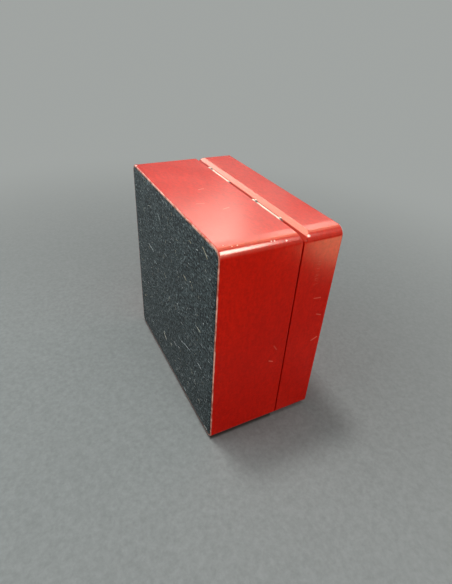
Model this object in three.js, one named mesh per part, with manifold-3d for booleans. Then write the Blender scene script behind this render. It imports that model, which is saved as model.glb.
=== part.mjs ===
// A square lacquered wooden jewelry case with a hinged lid, a felt base and a velvet interior.
// Millimetres. X runs to the right, Y to the back (the hinge side), Z up from the felt base.
import * as THREE from "three";
import { mergeVertices } from "three/addons/utils/BufferGeometryUtils.js";
import Module from "manifold-3d";

// Driving dimensions of the case
const caseWidth = 112;
const caseDepth = 112;
const caseHeight = 61;
const seamHeight = 40;
const seamGap = 0.6;
const cornerRadius = 4.5;
const cornerSegments = 16;
const edgeRadius = 0.6;
const edgeSegments = 3;

// Boards
const bottomThickness = 4;
const wallThickness = 9;
const lipClearance = 0.5;
const lidTopThickness = 5;

// Felt glued under the bottom board
const feltThickness = 0.6;
const feltInset = 1.1;

// Bevels along the back edges of the seam, which let the lid swing past upright
const bevelDepth = 3.5;
const bodyBevelHeight = 1.6;
const lidBevelHeight = 3.6;

// Velvet-covered lining
const linerThickness = 2;
const lipHeight = 3;
const linerEdgeRadius = 0.8;
const padThickness = 2.5;
const dividerThickness = 2.4;
const dividerHeight = 20;
const rollCount = 4;
const rollWidth = 9.6;
const rollHeight = 18;
const rollGap = 0.5;
const rollEndGap = 0.5;
const lidLiningThickness = 2.4;
const lidLiningClearance = 0.4;
const mirrorWidth = 80;
const mirrorDepth = 80;
const mirrorThickness = 2;
const mirrorBevel = 0.8;
const mirrorCornerRadius = 3;

// Hinges
const hingeLength = 25.4;
const hingeSpacing = 50.4;
const pinSetback = 1.7;
const knuckleRadius = 0.95;
const endKnuckleLength = 3.8;
const knuckleGap = 0.2;
const pinRadius = 0.4;
const pinClearance = 0.1;
const pinHeadRadius = 0.65;
const pinHeadLength = 0.35;
const leafThickness = 0.6;
const leafClearance = 0.25;
const mortiseClearance = 0.15;
const mortiseWeb = 0.8;
const roundSegments = 20;

// Lugs that stand out of the lid leaf's knuckles, nearly flush with the back of the case.
// As the lid opens they turn down into pockets in the body's bevel, and stop it at lidOpening.
const lidOpening = THREE.MathUtils.degToRad(107);
const lugWidth = 1.4;
const lugThickness = 0.8;
const lugInset = 0.1;
const lugClearance = 0.25;
const lugStopGap = 0.1;

// Countersunk wood screws, two to a leaf
const screwSpacing = 15;
const screwHeadRadius = 1.4;
const screwHeadHeight = 0.6;
const screwShankRadius = 0.75;
const screwLength = 5.5;
const screwClearance = 0.15;
const screwSlotWidth = 0.4;
const screwSlotDepth = 0.25;

// Planes and places worked out from the sizes above
const backFace = caseDepth / 2;
const bodyRim = seamHeight - seamGap / 2;
const lidRim = seamHeight + seamGap / 2;
const boardsFoot = feltThickness + bottomThickness;
const lidCeiling = caseHeight - lidTopThickness;
const grooveFloor = backFace - bevelDepth;
const pinY = grooveFloor + pinSetback;
const lidRailThickness = wallThickness - lipClearance;
const leafReach = pinY - (backFace - lidRailThickness) - mortiseWeb - mortiseClearance;
const leafFarEdge = knuckleRadius + leafClearance;
const barrelSlot = leafFarEdge - seamGap / 2;
const lugReach = backFace - lugInset - pinY;
const lugTip = lugThickness / 2;
const lugPocket = lugReach + lugClearance - seamGap / 2;
const lugStop = (lugReach - lugTip) * -Math.cos(lidOpening) + lugTip + lugStopGap;
const screwSetback = (leafReach + leafFarEdge) / 2;
const innerWidth = caseWidth - 2 * wallThickness;
const innerDepth = caseDepth - 2 * wallThickness;
const linedWidth = innerWidth - 2 * linerThickness;
const linedDepth = innerDepth - 2 * linerThickness;
const padTop = boardsFoot + padThickness;
const overrun = 2;

const colour = {
  lacquer: new THREE.MeshStandardMaterial({ color: 0xa81a10, roughness: 0.3, metalness: 0 }),
  felt: new THREE.MeshStandardMaterial({ color: 0x1b1f20, roughness: 0.95, metalness: 0 }),
  velvet: new THREE.MeshStandardMaterial({ color: 0x5a0f14, roughness: 0.9, metalness: 0 }),
  nickel: new THREE.MeshStandardMaterial({ color: 0xcfc9bd, roughness: 0.35, metalness: 0.9 }),
  glass: new THREE.MeshStandardMaterial({ color: 0xdfe6e8, roughness: 0.04, metalness: 1 }),
};

const wasm = await Module();
wasm.setup();

// A closed three.js geometry as a solid that can be cut and joined.
function toSolid(geometry) {
  const bare = geometry.clone();
  bare.deleteAttribute("normal");
  bare.deleteAttribute("uv");
  const merged = mergeVertices(bare, 1e-4);
  return new wasm.Manifold(
    new wasm.Mesh({
      numProp: 3,
      vertProperties: new Float32Array(merged.attributes.position.array),
      triVerts: new Uint32Array(merged.index.array),
    }),
  );
}

function toGeometry(solid) {
  const { vertProperties, triVerts, numProp } = solid.getMesh();
  const points = new Float32Array((vertProperties.length / numProp) * 3);
  for (let i = 0; i < points.length / 3; i++)
    for (let k = 0; k < 3; k++) points[3 * i + k] = vertProperties[numProp * i + k];
  const geometry = new THREE.BufferGeometry();
  geometry.setAttribute("position", new THREE.BufferAttribute(points, 3));
  geometry.setIndex(new THREE.BufferAttribute(new Uint32Array(triVerts), 1));
  geometry.computeVertexNormals();
  return geometry;
}

// The geometry less every cutter, each cutter a closed geometry.
function cut(geometry, cutters) {
  return toGeometry(cutters.reduce((solid, tool) => solid.subtract(toSolid(tool)), toSolid(geometry)));
}

function join(geometries) {
  return toGeometry(geometries.map(toSolid).reduce((a, b) => a.add(b)));
}

// A block given by its lowest and highest corners.
function block([x0, y0, z0], [x1, y1, z1]) {
  return new THREE.BoxGeometry(x1 - x0, y1 - y0, z1 - z0).translate(
    (x0 + x1) / 2,
    (y0 + y1) / 2,
    (z0 + z1) / 2,
  );
}

// An outline in the YZ plane, drawn out along X and centred on x = 0.
function extrudeAlongX(outline, length) {
  const geometry = new THREE.ExtrudeGeometry(outline, { depth: length, bevelEnabled: false });
  return geometry.rotateX(Math.PI / 2).rotateZ(Math.PI / 2).translate(-length / 2, 0, 0);
}

function rodAlongX(radius, length, x, y, z) {
  return new THREE.CylinderGeometry(radius, radius, length, roundSegments)
    .rotateZ(Math.PI / 2)
    .translate(x, y, z);
}

// A rectangle with round corners, centred on the origin.
function roundedRectangle(width, depth, radius) {
  const x = width / 2;
  const y = depth / 2;
  const shape = new THREE.Shape();
  shape.moveTo(-x + radius, -y);
  shape.lineTo(x - radius, -y);
  shape.absarc(x - radius, -y + radius, radius, -Math.PI / 2, 0);
  shape.lineTo(x, y - radius);
  shape.absarc(x - radius, y - radius, radius, 0, Math.PI / 2);
  shape.lineTo(-x + radius, y);
  shape.absarc(-x + radius, y - radius, radius, Math.PI / 2, Math.PI);
  shape.lineTo(-x, -y + radius);
  shape.absarc(-x + radius, -y + radius, radius, Math.PI, 1.5 * Math.PI);
  return shape;
}

// A flat sheet from foot up, with the case's round corners, drawn in from its outline by inset.
function sheet(width, depth, radius, foot, thickness) {
  return new THREE.ExtrudeGeometry(roundedRectangle(width, depth, radius), {
    depth: thickness,
    bevelEnabled: false,
    curveSegments: cornerSegments,
  }).translate(0, 0, foot);
}

// A sheet whose upper edge is rounded over all the way round.
function roundedSheet(width, depth, radius, foot, thickness) {
  const outline = roundedRectangle(width - 2 * edgeRadius, depth - 2 * edgeRadius, radius - edgeRadius);
  const whole = new THREE.ExtrudeGeometry(outline, {
    depth: thickness,
    bevelThickness: edgeRadius,
    bevelSize: edgeRadius,
    bevelSegments: edgeSegments,
    curveSegments: cornerSegments,
  }).translate(0, 0, foot - edgeRadius);
  return cut(whole, [block([-width, -depth, foot - overrun - edgeRadius], [width, depth, foot])]);
}

// One side of a mitred frame: outer face on y = -across / 2, with half of each round corner.
function mitredBoard(along, across, thickness, foot, height) {
  const end = along / 2;
  const face = -across / 2;
  const arcCentre = end - cornerRadius;
  const quarter = Math.PI / 4;
  const board = new THREE.Shape();
  board.moveTo(-end + thickness, face + thickness);
  board.absarc(-arcCentre, face + cornerRadius, cornerRadius, 5 * quarter, 6 * quarter);
  board.absarc(arcCentre, face + cornerRadius, cornerRadius, 6 * quarter, 7 * quarter);
  board.lineTo(end - thickness, face + thickness);
  return new THREE.ExtrudeGeometry(board, {
    depth: height,
    bevelEnabled: false,
    curveSegments: cornerSegments / 2,
  }).translate(0, 0, foot);
}

// The waste that a bevel takes off along the back edge of the seam; up is -1 below the seam, +1 above.
function bevelWaste(rim, up, height) {
  const slope = height / bevelDepth;
  const waste = new THREE.Shape();
  waste.moveTo(grooveFloor, rim);
  waste.lineTo(backFace + overrun, rim + up * slope * (bevelDepth + overrun));
  waste.lineTo(backFace + overrun, rim - up * overrun);
  waste.lineTo(grooveFloor, rim - up * overrun);
  return extrudeAlongX(waste, caseWidth + 2 * overrun);
}

const hingePlaces = { left: -hingeSpacing / 2, right: hingeSpacing / 2 };
const screwOffsets = [-screwSpacing / 2, screwSpacing / 2];
const screwY = pinY - screwSetback;

// Where each hinge's lugs start along its barrel: the left hinge has one on each end knuckle
const halfHinge = hingeLength / 2;
const lugPlaces = {
  left: [-halfHinge, halfHinge - endKnuckleLength],
  right: [halfHinge - endKnuckleLength],
};

// What is cut from a rim for one hinge: the leaf's mortise, the slot for the barrel, the screw holes,
// and in the body the pockets for the lugs.
// Into the wood is downwards from the body's rim, up = -1, and upwards from the lid's, up = 1.
function hingeWaste(side, rim, up) {
  const x = hingePlaces[side];
  const half = halfHinge + pinHeadLength + mortiseClearance;
  const slot = (from, to, y, depth) => {
    const sink = rim + up * depth;
    const clear = rim - up * overrun;
    return block([from, y, Math.min(sink, clear)], [to, backFace + overrun, Math.max(sink, clear)]);
  };
  const mortise = slot(x - half, x + half, pinY - leafReach - mortiseClearance, leafThickness);
  const barrel = slot(x - half, x + half, pinY - leafFarEdge, barrelSlot);
  const pockets = lugPlaces[side].map((place) => {
    const from = x + place - lugClearance;
    return slot(from, from + lugWidth + 2 * lugClearance, pinY - lugStop, lugPocket);
  });
  const holeDepth = screwLength + screwClearance;
  const holes = screwOffsets.map((offset) =>
    new THREE.CylinderGeometry(
      screwShankRadius + screwClearance,
      screwShankRadius + screwClearance,
      holeDepth,
      roundSegments,
    )
      .rotateX(Math.PI / 2)
      .translate(x + offset, screwY, rim + (up * holeDepth) / 2),
  );
  return up < 0 ? [mortise, barrel, ...holes, ...pockets] : [mortise, barrel, ...holes];
}

const model = new THREE.Group();

function add(name, geometry, material, parent = model) {
  const mesh = new THREE.Mesh(geometry, material);
  mesh.name = name;
  parent.add(mesh);
  return mesh;
}

// Four mitred boards round a square, with the bevel along the back of the rim and the hinge mortises
function addFrame(prefix, suffix, thickness, foot, rim, bevelHeight) {
  const height = Math.abs(rim - foot);
  const low = Math.min(rim, foot);
  const up = Math.sign(foot - rim);
  const bevel = bevelWaste(rim, up, bevelHeight);
  const hingeCuts = Object.keys(hingePlaces).flatMap((side) => hingeWaste(side, rim, up));
  const front = mitredBoard(caseWidth, caseDepth, thickness, low, height);
  const back = front.clone().rotateZ(Math.PI);
  const left = mitredBoard(caseDepth, caseWidth, thickness, low, height).rotateZ(-Math.PI / 2);
  const right = left.clone().rotateZ(Math.PI);
  add(`${prefix}front_${suffix}`, front, colour.lacquer);
  add(`${prefix}back_${suffix}`, cut(back, [bevel, ...hingeCuts]), colour.lacquer);
  add(`${prefix}left_${suffix}`, cut(left, [bevel]), colour.lacquer);
  add(`${prefix}right_${suffix}`, cut(right, [bevel]), colour.lacquer);
}

// Body: felt, bottom board and walls
const feltWidth = caseWidth - 2 * feltInset;
const feltDepth = caseDepth - 2 * feltInset;
add("base_felt", sheet(feltWidth, feltDepth, cornerRadius - feltInset, 0, feltThickness), colour.felt);
add(
  "bottom_board",
  roundedSheet(caseWidth, caseDepth, cornerRadius, -boardsFoot, bottomThickness).rotateX(Math.PI),
  colour.lacquer,
);
addFrame("", "wall", wallThickness, boardsFoot, bodyRim, bodyBevelHeight);

// Lining of the body: four upstanding liners whose lip guides the lid, and a soft floor
function liner(length, height) {
  const r = linerEdgeRadius;
  const profile = new THREE.Shape();
  profile.moveTo(0, 0);
  profile.lineTo(linerThickness, 0);
  profile.lineTo(linerThickness, height - r);
  profile.absarc(linerThickness - r, height - r, r, 0, Math.PI / 2);
  profile.absarc(r, height - r, r, Math.PI / 2, Math.PI);
  return extrudeAlongX(profile, length);
}

const linerHeight = seamHeight + lipHeight - boardsFoot;
const frontLiner = liner(innerWidth, linerHeight).translate(0, -innerDepth / 2, boardsFoot);
const sideLiner = liner(linedDepth, linerHeight).translate(0, -innerWidth / 2, boardsFoot);
add("front_liner", frontLiner, colour.velvet);
add("back_liner", frontLiner.clone().rotateZ(Math.PI), colour.velvet);
add("left_liner", sideLiner.clone().rotateZ(-Math.PI / 2), colour.velvet);
add("right_liner", sideLiner.clone().rotateZ(Math.PI / 2), colour.velvet);
add(
  "floor_pad",
  block([-linedWidth / 2, -linedDepth / 2, boardsFoot], [linedWidth / 2, linedDepth / 2, padTop]),
  colour.velvet,
);

// Ring rolls side by side across the front, and the divider that keeps them there
function ringRoll() {
  const half = rollWidth / 2;
  const profile = new THREE.Shape();
  profile.moveTo(-half, 0);
  profile.lineTo(half, 0);
  profile.lineTo(half, rollHeight - half);
  profile.absarc(0, rollHeight - half, half, 0, Math.PI);
  return extrudeAlongX(profile, linedWidth - 2 * rollEndGap);
}

const rollPitch = rollWidth + rollGap;
for (let i = 0; i < rollCount; i++) {
  const y = -linedDepth / 2 + rollGap + rollWidth / 2 + i * rollPitch;
  add(`ring_roll_${i + 1}`, ringRoll(), colour.velvet).position.set(0, y, padTop);
}

const dividerFront = -linedDepth / 2 + rollGap + rollCount * rollPitch;
const dividerBack = dividerFront + dividerThickness;
add(
  "divider",
  block([-linedWidth / 2, dividerFront, padTop], [linedWidth / 2, dividerBack, padTop + dividerHeight]),
  colour.velvet,
);

// Lid: four mitred rails under a flush top, with a lining and a bevelled mirror inside
addFrame("lid_", "rail", lidRailThickness, lidCeiling, lidRim, lidBevelHeight);
add("lid_top", roundedSheet(caseWidth, caseDepth, cornerRadius, lidCeiling, lidTopThickness), colour.lacquer);

const liningWidth = caseWidth - 2 * (lidRailThickness + lidLiningClearance);
const liningDepth = caseDepth - 2 * (lidRailThickness + lidLiningClearance);
const liningFoot = lidCeiling - lidLiningThickness;
add(
  "lid_lining",
  sheet(liningWidth, liningDepth, linerEdgeRadius, liningFoot, lidLiningThickness),
  colour.velvet,
);

function bevelledMirror() {
  return new THREE.ExtrudeGeometry(
    roundedRectangle(mirrorWidth - 2 * mirrorBevel, mirrorDepth - 2 * mirrorBevel, mirrorCornerRadius),
    {
      depth: mirrorThickness - mirrorBevel,
      bevelThickness: mirrorBevel,
      bevelSize: mirrorBevel,
      bevelSegments: 1,
      curveSegments: cornerSegments / 2,
    },
  );
}
const mirrorWaste = block(
  [-mirrorWidth, -mirrorDepth, mirrorThickness - mirrorBevel],
  [mirrorWidth, mirrorDepth, mirrorThickness + overrun],
);
const mirror = add("mirror", cut(bevelledMirror(), [mirrorWaste]), colour.glass);
mirror.position.set(0, 0, liningFoot - mirrorThickness + mirrorBevel);

// A lug that stands straight out of the barrel and ends round, from place to place + lugWidth.
function stopLug(place) {
  const outline = new THREE.Shape();
  outline.moveTo(0, -lugTip);
  outline.absarc(lugReach - lugTip, 0, lugTip, -Math.PI / 2, Math.PI / 2);
  outline.lineTo(0, lugTip);
  return extrudeAlongX(outline, lugWidth).translate(place + lugWidth / 2, 0, 0);
}

// One hinge leaf: a plate in its mortise, with the knuckles that it carries on the pin line
function hingeLeaf(rim, up, knuckles, lugs) {
  const near = -leafReach;
  const far = -leafFarEdge;
  const face = rim - seamHeight;
  const low = Math.min(face, face + up * leafThickness);
  const high = Math.max(face, face + up * leafThickness);
  const plate = block([-hingeLength / 2, near, low], [hingeLength / 2, far, high]);
  const rolled = knuckles.flatMap(([from, to]) => [
    rodAlongX(knuckleRadius, to - from, (from + to) / 2, 0, 0),
    block([from, far - leafClearance, low], [to, 0, high]),
  ]);
  const bore = rodAlongX(pinRadius + pinClearance, hingeLength + overrun, 0, 0, 0);
  const sinks = screwOffsets.map((x) => {
    const rMouth = screwHeadRadius + screwClearance;
    const rFoot = screwShankRadius + screwClearance;
    const tall = leafThickness + 2 * screwClearance;
    const [rTop, rBottom] = up < 0 ? [rMouth, rFoot] : [rFoot, rMouth];
    return new THREE.CylinderGeometry(rTop, rBottom, tall, roundSegments)
      .rotateX(Math.PI / 2)
      .translate(x, -screwSetback, (low + high) / 2);
  });
  return cut(join([plate, ...rolled, ...lugs]), [bore, ...sinks]);
}

// A countersunk screw with its flat head up at z = 0 and its slot along X
function woodScrew() {
  const profile = [
    [0, 0],
    [screwHeadRadius, 0],
    [screwShankRadius, -screwHeadHeight],
    [screwShankRadius, -screwLength + 2 * screwShankRadius],
    [0, -screwLength],
  ].map(([r, z]) => new THREE.Vector2(r, z));
  const turned = new THREE.LatheGeometry(profile.reverse(), roundSegments).rotateX(Math.PI / 2);
  const slot = block(
    [-screwHeadRadius - overrun, -screwSlotWidth / 2, -screwSlotDepth],
    [screwHeadRadius + overrun, screwSlotWidth / 2, overrun],
  );
  return cut(turned, [slot]);
}

const endKnuckles = [
  [-halfHinge, -halfHinge + endKnuckleLength],
  [halfHinge - endKnuckleLength, halfHinge],
];
const middleKnuckle = [
  [-halfHinge + endKnuckleLength + knuckleGap, halfHinge - endKnuckleLength - knuckleGap],
];

function addHinge(side, x) {
  const hinge = new THREE.Group();
  hinge.position.set(x, pinY, seamHeight);
  model.add(hinge);
  add(`hinge_${side}_body_leaf`, hingeLeaf(bodyRim, -1, middleKnuckle, []), colour.nickel, hinge);
  const lugs = lugPlaces[side].map(stopLug);
  add(`hinge_${side}_lid_leaf`, hingeLeaf(lidRim, 1, endKnuckles, lugs), colour.nickel, hinge);
  const shaft = rodAlongX(pinRadius, hingeLength + pinHeadLength, 0, 0, 0);
  const headCentre = (hingeLength + pinHeadLength + pinClearance) / 2;
  const heads = [-1, 1].map((end) =>
    rodAlongX(pinHeadRadius, pinHeadLength - pinClearance, end * headCentre, 0, 0),
  );
  add(`hinge_${side}_pin`, join([shaft, ...heads]), colour.nickel, hinge);
  for (const [i, offset] of screwOffsets.entries()) {
    const lower = add(`hinge_${side}_body_screw_${i + 1}`, woodScrew(), colour.nickel, hinge);
    lower.position.set(offset, -screwSetback, bodyRim - seamHeight);
    const upper = add(`hinge_${side}_lid_screw_${i + 1}`, woodScrew(), colour.nickel, hinge);
    upper.position.set(offset, -screwSetback, lidRim - seamHeight);
    upper.rotation.x = Math.PI;
  }
}

for (const [side, x] of Object.entries(hingePlaces)) addHinge(side, x);

export default model;
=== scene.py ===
import math
import random

import bmesh
import bpy
from mathutils import Matrix, Vector, noise


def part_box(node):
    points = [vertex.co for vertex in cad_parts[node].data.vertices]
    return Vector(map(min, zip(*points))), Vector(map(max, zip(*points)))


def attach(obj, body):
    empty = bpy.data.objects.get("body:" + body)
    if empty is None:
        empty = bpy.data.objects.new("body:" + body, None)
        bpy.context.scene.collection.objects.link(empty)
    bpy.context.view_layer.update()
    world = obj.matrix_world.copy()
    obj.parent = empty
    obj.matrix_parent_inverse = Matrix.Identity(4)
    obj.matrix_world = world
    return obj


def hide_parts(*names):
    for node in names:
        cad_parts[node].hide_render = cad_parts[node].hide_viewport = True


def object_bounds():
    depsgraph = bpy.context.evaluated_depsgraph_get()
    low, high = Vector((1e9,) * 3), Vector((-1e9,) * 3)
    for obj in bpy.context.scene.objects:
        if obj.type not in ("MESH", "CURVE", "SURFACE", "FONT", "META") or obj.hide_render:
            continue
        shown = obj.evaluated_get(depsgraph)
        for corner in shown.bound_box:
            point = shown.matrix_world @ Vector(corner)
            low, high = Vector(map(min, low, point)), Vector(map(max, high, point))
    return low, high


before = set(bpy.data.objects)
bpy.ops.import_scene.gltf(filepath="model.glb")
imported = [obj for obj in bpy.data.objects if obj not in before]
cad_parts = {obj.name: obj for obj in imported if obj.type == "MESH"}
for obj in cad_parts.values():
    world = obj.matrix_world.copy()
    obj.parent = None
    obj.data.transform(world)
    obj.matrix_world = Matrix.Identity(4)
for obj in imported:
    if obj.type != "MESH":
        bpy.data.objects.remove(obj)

cad_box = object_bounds()
MM = 0.001

# The photograph's frame and viewpoint, in the row frame
IMAGE_WIDTH = 452
IMAGE_HEIGHT = 584
FOCAL_PIXELS = 421.7
SENSOR = 36.0
EYE = Vector((-178.99, 132.88, -63.95)) * MM
LOOK_RIGHT = Vector((-0.4529, 0.0519, 0.8900)).normalized()
LOOK_BACK = LOOK_RIGHT.cross(Vector((0.5221, 0.8247, 0.2176))).normalized()
LOOK_UP = LOOK_BACK.cross(LOOK_RIGHT)

# Sizes of the lacquered boards that the shells repeat
CORNER_RADIUS = 4.5 * MM
CORNER_SEGMENTS = 16
WALL_THICKNESS = 9 * MM
LID_RAIL_THICKNESS = 8.5 * MM
BEVEL_DEPTH = 3.5 * MM
BODY_BEVEL_HEIGHT = 1.6 * MM
LID_BEVEL_HEIGHT = 3.6 * MM
OVERRUN = 2 * MM
EDGE_ROUNDING = 0.6 * MM
FINE_EDGE_SHARE = 0.4

# The slots for the hinges' leaves and barrels, and the pockets that the lugs turn into
HINGE_PLACES = (-25.2 * MM, 25.2 * MM)
HINGE_HALF_SLOT = 13.2 * MM
MORTISE_Y = 48.3 * MM
MORTISE_DEPTH = 0.6 * MM
BARREL_Y = 53.0 * MM
BARREL_DEPTH = 0.9 * MM
LUG_POCKET_PLACES = (-38.15 * MM, -16.55 * MM, 33.85 * MM)
LUG_POCKET_WIDTH = 1.9 * MM
LUG_POCKET_Y = 53.32 * MM
LUG_POCKET_DEPTH = 1.65 * MM

# Where the lacquer's gloss, roll and painted groove shade begin and end
GROOVE_Y = 52.4 * MM
GROOVE_FADE = 0.1 * MM
LID_GROOVE_SHADE_TOP = 42.15 * MM
GROOVE_SHADE_FADE = 0.15 * MM
CROWN_START = 47.6 * MM
CROWN_END = 53.6 * MM
CROWN_DROP = 0.33 * MM
CROWN_BODY_TOP = 38.2 * MM
CROWN_LID_FOOT = 44.0 * MM
EDGE_ACROSS = (51.8 * MM, 52.8 * MM)
EDGE_ALONG = (52.2 * MM, 53.2 * MM)
HANDLED_DEPTH = 0.3 * MM
WORN_HEIGHT = 0.34 * MM

# The lacquer's colours, and its gloss on flat faces and on the turned edges and bevels
RED_DEEP = (0.50, 0.0056, 0.0011, 1)
RED_LIGHT = (0.59, 0.0085, 0.0018, 1)
RED_SHADE = (0.24, 0.0020, 0.0005, 1)
PRIMER_PALE = (0.80, 0.42, 0.32, 1)
PRIMER_DARK = (0.42, 0.11, 0.07, 1)
# Pale pink for chips down to the primer, and for painted glints
CHIP_AND_GLINT_PINK = (0.86, 0.60, 0.52, 1)
SCRATCH_PINK = (0.85, 0.33, 0.24, 1)
SCUFF_RED = (0.70, 0.17, 0.11, 1)
# Painted shade deep in the hinge groove: its dark red here, and its share of the gloss further down
GROOVE_SHADE_RED = (0.34, 0.012, 0.004, 1)
GLOSS_TINT = (1.0, 0.74, 0.50, 1)
FLAT_GLOSS = 0.13
EDGE_GLOSS = 1.0
GROOVE_SHADE_GLOSS_SHARE = 0.05
HANDLED_GLOSS_SHARE = 0.35
HANDLED_ROUGHNESS = 0.15

draw = random.Random(11)


def pixel_ray(px, py):
    """The direction from the camera through a pixel of the photograph."""
    across = LOOK_RIGHT * ((px - IMAGE_WIDTH / 2) / FOCAL_PIXELS)
    upward = LOOK_UP * ((IMAGE_HEIGHT / 2 - py) / FOCAL_PIXELS)
    return (across + upward - LOOK_BACK).normalized()


def make_camera():
    lens = bpy.data.cameras.new("camera")
    lens.sensor_width = SENSOR
    lens.lens = FOCAL_PIXELS * SENSOR / IMAGE_HEIGHT
    lens.clip_start = 0.001
    lens.clip_end = 50
    camera = bpy.data.objects.new("camera", lens)
    turn = Matrix((LOOK_RIGHT, LOOK_UP, LOOK_BACK)).transposed().to_4x4()
    camera.matrix_world = Matrix.Translation(EYE) @ turn
    bpy.context.scene.collection.objects.link(camera)
    bpy.context.scene.camera = camera


class Shader:
    """A material and the nodes that are added to it."""

    def __init__(self, name):
        self.material = bpy.data.materials.new(name)
        self.material.use_nodes = True
        self.tree = self.material.node_tree
        self.surface = self.tree.nodes["Principled BSDF"]
        self.place = self.node("TexCoord").outputs["Object"]

    def put(self, socket, value):
        if isinstance(value, bpy.types.NodeSocket):
            self.tree.links.new(value, socket)
        else:
            socket.default_value = value

    def node(self, kind, inputs=(), **settings):
        made = self.tree.nodes.new(f"ShaderNode{kind}")
        for key, value in settings.items():
            setattr(made, key, value)
        for key, value in dict(inputs).items():
            self.put(made.inputs[key], value)
        return made

    def math(self, operation, a, b=0.0):
        return self.node("Math", {0: a, 1: b}, operation=operation).outputs[0]

    def vector(self, operation, a, b=(0, 0, 0), output=0):
        made = self.node("VectorMath", {0: a, 1: b}, operation=operation)
        return made.outputs[output]

    def scaled(self, a, factor):
        made = self.node("VectorMath", {0: a, "Scale": factor}, operation="SCALE")
        return made.outputs[0]

    def noise(self, scale, detail=2.0, rough=0.5, vector=None, distortion=0.0):
        where = self.place if vector is None else vector
        inputs = {"Vector": where, "Scale": scale, "Detail": detail, "Roughness": rough}
        inputs["Distortion"] = distortion
        return self.node("TexNoise", inputs).outputs["Fac"]

    def ranged(self, value, low, high, to_low=0.0, to_high=1.0, smooth=True):
        inputs = {"Value": value, "From Min": low, "From Max": high, "To Min": to_low, "To Max": to_high}
        kind = "SMOOTHSTEP" if smooth else "LINEAR"
        return self.node("MapRange", inputs, interpolation_type=kind).outputs["Result"]

    def mix(self, factor, a, b):
        """From colour a at 0 to colour b at 1. The Mix node's colour sockets have the numbers 6 and 7."""
        return self.node("Mix", {0: factor, 6: a, 7: b}, data_type="RGBA").outputs[2]

    def stretched(self, turn, scale):
        inputs = {"Vector": self.place, "Rotation": turn, "Scale": scale}
        return self.node("Mapping", inputs).outputs["Vector"]

    def axis(self, name):
        return self.node("SeparateXYZ", {"Vector": self.place}).outputs[name]

    def near_point(self, point, radius, soft, ragged):
        """1 within radius of a point, fading to 0 over soft, with an edge that wanders by ragged."""
        away = self.vector("DISTANCE", self.place, tuple(point), output="Value")
        unevenness = self.math("SUBTRACT", self.noise(900, detail=1), 0.5)
        wander = self.math("MULTIPLY", unevenness, ragged * 2)
        return self.ranged(self.math("ADD", away, wander), radius + soft, radius)

    def near_line(self, start, end, radius, soft):
        """1 within radius of a straight line between two points, fading to 0 over soft."""
        along = end - start
        offset = self.vector("SUBTRACT", self.place, tuple(start))
        dot = self.vector("DOT_PRODUCT", offset, tuple(along), output="Value")
        per_length = {0: dot, 1: 1 / along.length_squared}
        share = self.node("Math", per_length, operation="MULTIPLY", use_clamp=True).outputs[0]
        foot = self.scaled(tuple(along), share)
        away = self.vector("DISTANCE", offset, foot, output="Value")
        return self.ranged(away, radius + soft, radius)

    def bump(self, height, distance, strength=1.0, under=None):
        inputs = {"Height": height, "Distance": distance, "Strength": strength}
        if under is not None:
            inputs["Normal"] = under
        return self.node("Bump", inputs).outputs["Normal"]

    def finish(self, **inputs):
        for key, value in inputs.items():
            self.put(self.surface.inputs[key.replace("_", " ")], value)
        return self.material


def lacquer_colour(s, grain, mottle):
    """Cloudy red, darker along the grain and in a fine mottle."""
    clouds = s.noise(20, detail=3, rough=0.5)
    colour = s.mix(s.ranged(clouds, 0.25, 0.75), RED_DEEP, RED_LIGHT)
    colour = s.mix(s.ranged(grain, 0.30, 0.75, 0.0, 0.34), colour, RED_SHADE)
    return s.mix(s.ranged(mottle, 0.40, 0.68, 0.0, 0.32), colour, RED_SHADE)


def worn_foot(s, colour, worn_below):
    """Primer in a ragged line along the foot, where the lacquer is rubbed off."""
    ragged = s.math("MULTIPLY", s.noise(420, detail=3), 0.35 * MM)
    edge = s.math("ADD", s.axis("Z"), ragged)
    bare = s.ranged(edge, worn_below + 0.15 * MM, worn_below - 0.05 * MM)
    primer = s.mix(s.ranged(s.noise(300, detail=3), 0.35, 0.65), PRIMER_PALE, PRIMER_DARK)
    return s.mix(bare, colour, primer)


def marked(s, colour, chips_and_glints, scratches, scuffs):
    """Chips down to the primer and painted glints, pale scratches, and streaks where the lacquer is
    rubbed.
    """
    for point, radius in chips_and_glints:
        chip_or_glint = s.near_point(point, radius * 0.5, radius * 0.6, ragged=0.5 * MM)
        colour = s.mix(chip_or_glint, colour, CHIP_AND_GLINT_PINK)
    for start, end, strength in scratches:
        line = s.math("MULTIPLY", s.near_line(start, end, 0.0, 0.48 * MM), strength)
        colour = s.mix(line, colour, SCRATCH_PINK)
    for start, end, strength in scuffs:
        band = s.near_line(start, end, 0.1 * MM, 1.6 * MM)
        drawn_out = s.stretched((0.5, 0, 0), (500, 1500, 200))
        rubbed = s.noise(1.0, detail=3, rough=0.6, vector=drawn_out)
        streaks = s.math("MULTIPLY", band, s.ranged(rubbed, 0.50, 0.68, 0, strength))
        colour = s.mix(streaks, colour, SCUFF_RED)
    return colour


def lacquer_gloss(s, flat_part, groove_shade, handled):
    """Low on the flat faces, high on the turned edges and the bevels, dull in the painted groove shade
    and on the top.
    """
    across = s.ranged(s.math("ABSOLUTE", s.axis("X")), *EDGE_ACROSS)
    along = s.ranged(s.math("ABSOLUTE", s.axis("Y")), *EDGE_ALONG)
    turned = s.math("MULTIPLY", across, along)
    behind_groove = s.math("GREATER_THAN", s.axis("Y"), GROOVE_Y)
    bevelled = s.math("MULTIPLY", s.math("LESS_THAN", flat_part, 0.5), behind_groove)
    gloss = s.ranged(s.math("MAXIMUM", turned, bevelled), 0.0, 1.0, FLAT_GLOSS, EDGE_GLOSS)
    gloss = s.math("MULTIPLY", gloss, s.ranged(groove_shade, 0.0, 1.0, 1.0, GROOVE_SHADE_GLOSS_SHARE))
    return s.math("MULTIPLY", gloss, s.ranged(handled, 0.0, 1.0, 1.0, HANDLED_GLOSS_SHARE))


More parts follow.
